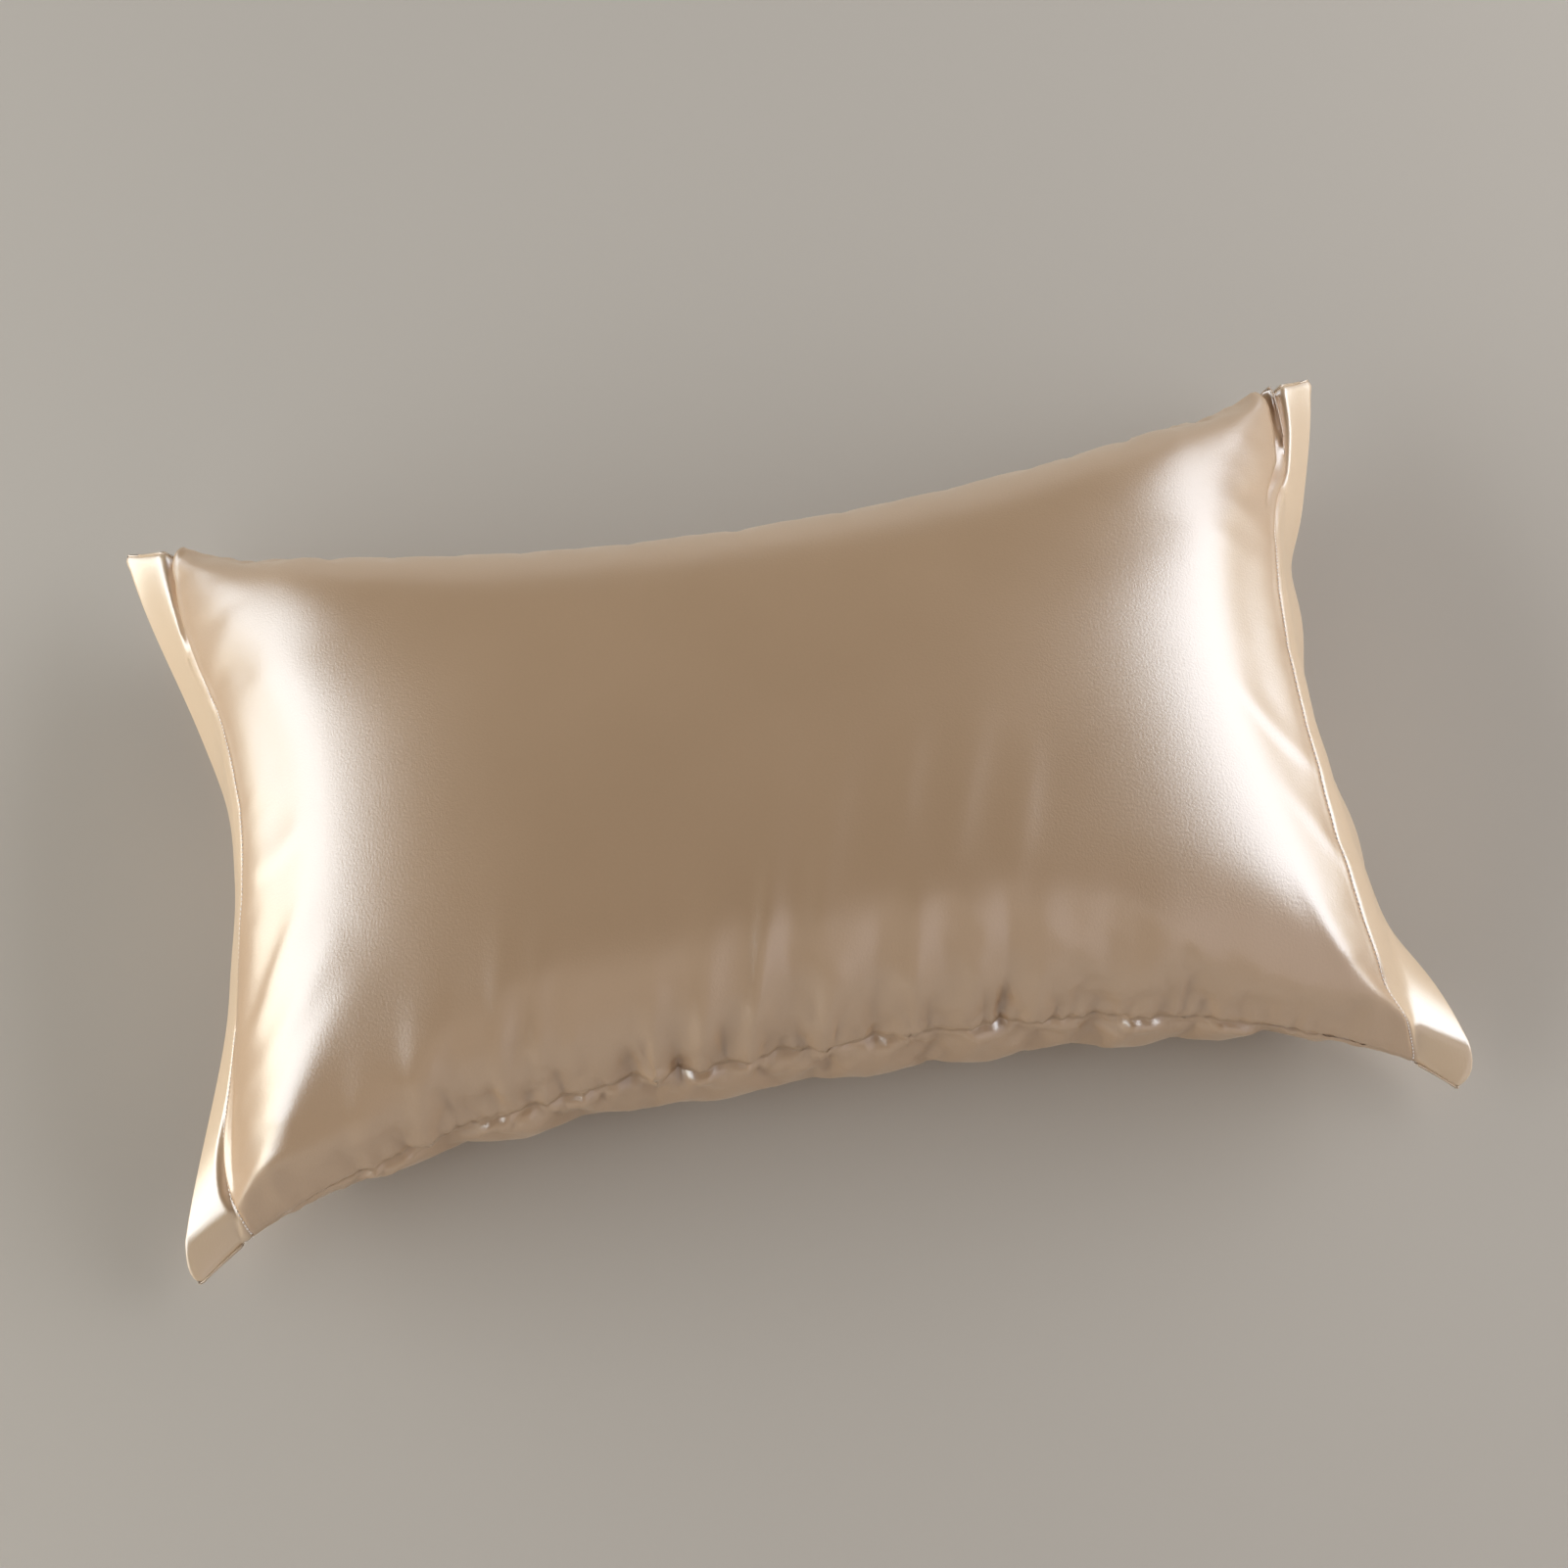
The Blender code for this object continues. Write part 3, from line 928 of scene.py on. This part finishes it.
def stitch_tree(material):
    """Geometry nodes that lay one stitch after another along rows of points."""
    tree = bpy.data.node_groups.new("stitches", "GeometryNodeTree")
    sockets = tree.interface
    sockets.new_socket("Rows", in_out="INPUT", socket_type="NodeSocketGeometry")
    for name in ("Pitch", "Length", "Thickness"):
        sockets.new_socket(name, in_out="INPUT", socket_type="NodeSocketFloat")
    sockets.new_socket("Seed", in_out="INPUT", socket_type="NodeSocketInt")
    sockets.new_socket("Stitches", in_out="OUTPUT", socket_type="NodeSocketGeometry")
    graph = Graph(tree)
    inputs = graph.node("NodeGroupInput")
    rows, pitch, length, thickness, seed = [Value(graph, s) for s in inputs.outputs[:5]]

    curve = graph.value("GeometryNodeMeshToCurve", values={"Mesh": rows})
    spaced = graph.value(
        "GeometryNodeResampleCurve", {"mode": "LENGTH"}, {"Curve": curve, "Length": pitch}
    )
    out = graph.value(
        "GeometryNodeInputNamedAttribute", {"data_type": "FLOAT_VECTOR"}, {"Name": "out"}
    )
    tangent = graph.value("GeometryNodeInputTangent")
    lengthwise = graph.value(
        "FunctionNodeAlignRotationToVector", {"axis": "X"}, {"Vector": tangent}
    )
    turned = graph.value(
        "FunctionNodeAlignRotationToVector",
        {"axis": "Z", "pivot_axis": "X"},
        {"Rotation": lengthwise, "Vector": out},
    )
    differences = graph.value(
        "FunctionNodeRandomValue",
        {"data_type": "FLOAT_VECTOR"},
        {"Min": (0.92, 0.85, 0.85), "Max": (1.06, 1.15, 1.15), "Seed": seed},
    )
    size = graph.value(
        "ShaderNodeCombineXYZ", values={"X": length, "Y": thickness, "Z": thickness}
    )
    scale = graph.value(
        "ShaderNodeVectorMath", {"operation": "MULTIPLY"}, {0: size, 1: differences}
    )
    stitch = graph.value(
        "GeometryNodeMeshUVSphere", values={"Segments": 8, "Rings": 5, "Radius": 0.5}
    )
    laid = graph.value(
        "GeometryNodeInstanceOnPoints",
        values={"Points": spaced, "Instance": stitch, "Rotation": turned, "Scale": scale},
    )
    whole = graph.value("GeometryNodeRealizeInstances", values={"Geometry": laid})
    smooth = graph.value("GeometryNodeSetShadeSmooth", values={"Geometry": whole})
    sewn = graph.value(
        "GeometryNodeSetMaterial", values={"Geometry": smooth, "Material": material}
    )
    graph.node("NodeGroupOutput", values={"Stitches": sewn})
    return tree


def stitch_rows(case, lift):
    """Rows of points along both stitch lines, on each panel of the case."""
    points_across = CELLS_ACROSS + 1
    middle = FACE_CELLS + BAND_CELLS + END_CELLS
    panel_points = (2 * middle + 1) * points_across
    rows = bmesh.new()
    outs = []
    for first in (0, panel_points):
        for end in (-1, 1):
            column = middle + end * (FACE_CELLS + STITCH_CELL)
            start = first + column * points_across
            sewn = range(start + BARE_ROWS, start + points_across - BARE_ROWS)
            places = [case.data.vertices[number] for number in sewn]
            row = [rows.verts.new(place.co + place.normal * lift) for place in places]
            outs += [place.normal.copy() for place in places]
            for a, b in zip(row, row[1:]):
                rows.edges.new((a, b))
    data = bpy.data.meshes.new("stitch_rows")
    rows.to_mesh(data)
    rows.free()
    attribute = data.attributes.new("out", "FLOAT_VECTOR", "POINT")
    attribute.data.foreach_set("vector", [value for out in outs for value in out])
    return data


# ---------------------------------------------------------------- settings


class PillowcaseSettings(bpy.types.PropertyGroup):
    """Sizes of the case that its looks add to the frame."""

    hem_depth: FloatProperty(
        name="Hem Depth", description="From the end of the filling to the end of the case",
        default=0.032, min=0.01, max=0.08, unit="LENGTH",
    )
    hem_thickness: FloatProperty(
        name="Hem Thickness", description="Of the folded and stitched cloth",
        default=0.0018, min=0.0005, max=0.005, unit="LENGTH",
    )
    seam_groove: FloatProperty(
        name="Seam Groove", description="Depth of the groove between the two panels",
        default=0.0016, min=0.0, max=0.005, unit="LENGTH",
    )
    stitch_pitch: FloatProperty(
        name="Stitch Pitch", description="From the start of one stitch to the next",
        default=0.0027, min=0.001, max=0.01, unit="LENGTH",
    )
    stitch_width: FloatProperty(
        name="Thread Thickness", description="Thickness of the hem thread",
        default=0.0010, min=0.0001, max=0.002, unit="LENGTH",
    )
    seed: IntProperty(
        name="Seed", description="For the puckers and the stitches' small differences", default=4
    )


class SatinSettings(bpy.types.PropertyGroup):
    """Colours and finish of the cloth and thread."""

    colour: FloatVectorProperty(
        name="Satin", description="Colour of the satin", subtype="COLOR",
        default=(0.53, 0.335, 0.19), min=0, max=1,
    )
    # Partly the doubled cloth's own colour, and partly painted light: lighter still, for the bright
    # light that falls on the hems
    hem_and_painted_light_colour: FloatVectorProperty(
        name="Hem", description="Colour of the satin where a hem doubles it", subtype="COLOR",
        default=(0.70, 0.50, 0.32), min=0, max=1,
    )
    thread_colour: FloatVectorProperty(
        name="Thread", description="Colour of the hem thread", subtype="COLOR",
        default=(0.92, 0.84, 0.78), min=0, max=1,
    )
    roughness: FloatProperty(
        name="Roughness", description="How far the sheen spreads", default=0.30, min=0, max=1,
        subtype="FACTOR",
    )
    metallic: FloatProperty(
        name="Sheen Depth", description="How much of the colour is in the sheen", default=0.0,
        min=0, max=1, subtype="FACTOR",
    )
    weave_strength: FloatProperty(
        name="Weave", description="How strongly the weave breaks up the sheen", default=0.22,
        min=0, max=1, subtype="FACTOR",
    )


class StageSettings(bpy.types.PropertyGroup):
    """Floor, lights and camera."""

    floor_colour: FloatVectorProperty(
        name="Floor", description="Colour of the floor", subtype="COLOR",
        default=(0.52, 0.46, 0.395), min=0, max=1,
    )
    softbox_power: FloatProperty(
        name="Softboxes", description="Power that each large light takes a share of", default=59,
        min=0, unit="POWER",
    )
    strip_power: FloatProperty(
        name="Low Strips", description="Power that each low light takes a share of", default=8,
        min=0, unit="POWER",
    )
    elevation: FloatProperty(
        name="Elevation", description="Camera's height angle", default=math.radians(68),
        subtype="ANGLE",
    )
    azimuth: FloatProperty(
        name="Azimuth", description="Camera's turn about the case", default=math.radians(-5.3),
        subtype="ANGLE",
    )
    roll: FloatProperty(
        name="Roll", description="Camera's turn about its own axis", default=math.radians(-3.7),
        subtype="ANGLE",
    )
    distance: FloatProperty(
        name="Distance", description="From the camera to the case", default=2.003,
        unit="LENGTH",
    )
    lens: FloatProperty(name="Lens", description="Focal length in millimetres", default=80)


# ---------------------------------------------------------------- making


def new_piece(name, data, material):
    piece = bpy.data.objects.new(name, data)
    bpy.context.scene.collection.objects.link(piece)
    piece.data.materials.append(material)
    return piece


class PILLOWCASE_OT_case(bpy.types.Operator):
    """Make the filled satin case"""

    bl_idname = "pillowcase.case"
    bl_label = "Filled Case"

    def execute(self, context):
        scene = context.scene
        data = case_mesh(scene.pillowcase)
        case = new_piece("pillowcase_satin", data, satin_material(scene.pillowcase_satin))
        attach(case, "root")
        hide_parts("pillowcase")
        return {"FINISHED"}


class PILLOWCASE_OT_stitching(bpy.types.Operator):
    """Sew the stitching along both hems of the satin case"""

    bl_idname = "pillowcase.stitching"
    bl_label = "Hem Stitching"

    def execute(self, context):
        scene = context.scene
        sizes = scene.pillowcase
        case = bpy.data.objects.get("pillowcase_satin")
        if case is None:
            raise RuntimeError("The satin case has to be made before its stitching")
        thread = thread_material(scene.pillowcase_satin)
        lift = sizes.stitch_width * STITCH_LIFT
        rows = new_piece("stitch_rows", stitch_rows(case, lift), thread)
        tree = stitch_tree(thread)
        sew = rows.modifiers.new("stitches", "NODES")
        sew.node_group = tree
        wanted = {
            "Pitch": sizes.stitch_pitch,
            "Length": sizes.stitch_pitch * STITCH_SHARE,
            "Thickness": sizes.stitch_width,
            "Seed": sizes.seed,
        }
        for item in tree.interface.items_tree:
            if item.name in wanted:
                sew[item.identifier] = wanted[item.name]
        graph = context.evaluated_depsgraph_get()
        data = bpy.data.meshes.new_from_object(rows.evaluated_get(graph))
        rows.modifiers.clear()
        bpy.data.objects.remove(rows)
        if not data.polygons:
            raise RuntimeError("The hem stitching came out empty")
        data.name = "hem_stitching"
        stitching = bpy.data.objects.new("hem_stitching", data)
        scene.collection.objects.link(stitching)
        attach(stitching, "root")
        return {"FINISHED"}


# Area lights: where each stands and what it faces at its own height, its length and height, and
# its share of the softboxes' or the strips' power.
Lamp = namedtuple("Lamp", "name place faces size kind share colour")
LAMPS = (
    Lamp("left_softbox", (-1.9, -0.05, 1.12), (0, -0.05), (3.9, 1.55),
         "softbox", 1.0, (0.95, 1.02, 1.07)),
    Lamp("right_softbox", (1.9, 0.35, 1.28), (0, 0.35), (3.1, 1.9),
         "softbox", 1.04, (0.95, 1.01, 1.08)),
    Lamp("far_left_softbox", (-1.9, 2.6, 0.64), (0, 2.6), (1.4, 1.22),
         "softbox", 0.29, (0.95, 1.02, 1.07)),
    Lamp("far_right_softbox", (1.9, 2.6, 0.64), (0, 2.6), (1.4, 1.22),
         "softbox", 0.30, (0.95, 1.01, 1.08)),
    Lamp("front_softbox", (1.5, -1.9, 1.02), (0.1, 0), (2.2, 2.0),
         "softbox", 0.10, (1.0, 0.93, 0.94)),
    Lamp("near_softbox", (0, -2.2, 0.95), (0, 0), (1.7, 1.85),
         "softbox", 0.050, (1.0, 0.84, 0.70)),
    Lamp("left_strip", (-1.9, -0.3, 0.18), (0, -0.3), (2.2, 0.32),
         "strip", 0.92, (1.0, 0.97, 0.80)),
    Lamp("left_floor_strip", (-1.05, -0.25, 0.06), (0, -0.25), (1.0, 0.11),
         "strip", 0.08, (1.0, 0.96, 0.84)),
    Lamp("far_left_strip", (-1.9, 1.35, 0.18), (0, 1.35), (1.1, 0.32),
         "strip", 0.3, (0.98, 1.0, 0.92)),
    Lamp("right_strip", (1.9, 0.1, 0.18), (0, 0.1), (2.4, 0.32),
         "strip", 0.45, (1.0, 0.97, 0.80)),
)
FLOOR_HALF = 6.0  # half the length of the floor's sides
CAMERA_FACES = Vector((0.0064, 0.0128, 0.045))
SURROUND_COLOUR = (0.9, 0.70, 0.52, 1.0)
SURROUND_STRENGTH = 0.05


def new_lamp(lamp, power):
    """An area light that shines level, towards the place that it faces."""
    light = bpy.data.lights.new(lamp.name, "AREA")
    light.shape = "RECTANGLE"
    light.size, light.size_y = lamp.size
    light.energy = power
    light.color = lamp.colour
    holder = bpy.data.objects.new(lamp.name, light)
    holder.location = lamp.place
    ahead = Vector((*lamp.faces, lamp.place[2])) - Vector(lamp.place)
    holder.rotation_euler = ahead.to_track_quat("-Z", "Y").to_euler()
    bpy.context.scene.collection.objects.link(holder)


def new_surroundings():
    """A dim warm light from all round."""
    world = bpy.data.worlds.new("studio")
    world.use_nodes = True
    background = world.node_tree.nodes["Background"]
    background.inputs["Color"].default_value = SURROUND_COLOUR
    background.inputs["Strength"].default_value = SURROUND_STRENGTH
    return world


def new_camera(settings):
    """Looks down at the case from the near side, a little to the left, slightly rolled."""
    elevation, azimuth, roll = settings.elevation, settings.azimuth, settings.roll
    back = Vector((
        math.sin(azimuth) * math.cos(elevation),
        -math.cos(azimuth) * math.cos(elevation),
        math.sin(elevation),
    ))
    right = (-back).cross(Vector((0, 0, 1))).normalized()
    up = right.cross(-back)
    rolled_right = math.cos(roll) * right + math.sin(roll) * up
    rolled_up = -math.sin(roll) * right + math.cos(roll) * up
    turn = Matrix((rolled_right, rolled_up, back)).transposed()
    data = bpy.data.cameras.new("camera")
    data.lens = settings.lens
    camera = bpy.data.objects.new("camera", data)
    place = CAMERA_FACES + back * settings.distance
    camera.matrix_world = Matrix.Translation(place) @ turn.to_4x4()
    bpy.context.scene.collection.objects.link(camera)
    return camera


class PILLOWCASE_OT_stage(bpy.types.Operator):
    """Set up the floor, the lights and the camera"""

    bl_idname = "pillowcase.stage"
    bl_label = "Stage"

    def execute(self, context):
        scene = context.scene
        settings = scene.pillowcase_stage
        mesh = bmesh.new()
        bmesh.ops.create_grid(mesh, x_segments=1, y_segments=1, size=FLOOR_HALF)
        data = bpy.data.meshes.new("floor")
        mesh.to_mesh(data)
        mesh.free()
        floor = new_piece("floor", data, floor_material(settings))

        powers = {"softbox": settings.softbox_power, "strip": settings.strip_power}
        for lamp in LAMPS:
            new_lamp(lamp, powers[lamp.kind] * lamp.share)
        scene.world = new_surroundings()
        scene.view_settings.view_transform = "Standard"
        scene.camera = new_camera(settings)
        return {"FINISHED"}


class PILLOWCASE_PT_panel(bpy.types.Panel):
    """The pillowcase's settings and pieces"""

    bl_idname = "PILLOWCASE_PT_panel"
    bl_label = "Pillowcase"
    bl_space_type = "VIEW_3D"
    bl_region_type = "UI"
    bl_category = "Pillowcase"

    def draw(self, context):
        for group in (context.scene.pillowcase, context.scene.pillowcase_satin,
                      context.scene.pillowcase_stage):
            box = self.layout.box()
            for name in group.__annotations__:
                box.prop(group, name)
        for operator in (PILLOWCASE_OT_case, PILLOWCASE_OT_stitching, PILLOWCASE_OT_stage):
            self.layout.operator(operator.bl_idname)


CLASSES = (
    PillowcaseSettings,
    SatinSettings,
    StageSettings,
    PILLOWCASE_OT_case,
    PILLOWCASE_OT_stitching,
    PILLOWCASE_OT_stage,
    PILLOWCASE_PT_panel,
)


def register():
    for item in CLASSES:
        bpy.utils.register_class(item)
    bpy.types.Scene.pillowcase = PointerProperty(type=PillowcaseSettings)
    bpy.types.Scene.pillowcase_satin = PointerProperty(type=SatinSettings)
    bpy.types.Scene.pillowcase_stage = PointerProperty(type=StageSettings)


def unregister():
    del bpy.types.Scene.pillowcase_stage
    del bpy.types.Scene.pillowcase_satin
    del bpy.types.Scene.pillowcase
    for item in reversed(CLASSES):
        bpy.utils.unregister_class(item)


def main():
    register()
    bpy.ops.pillowcase.stage()
    bpy.ops.pillowcase.case()
    bpy.ops.pillowcase.stitching()


if __name__ == "__main__":
    main()
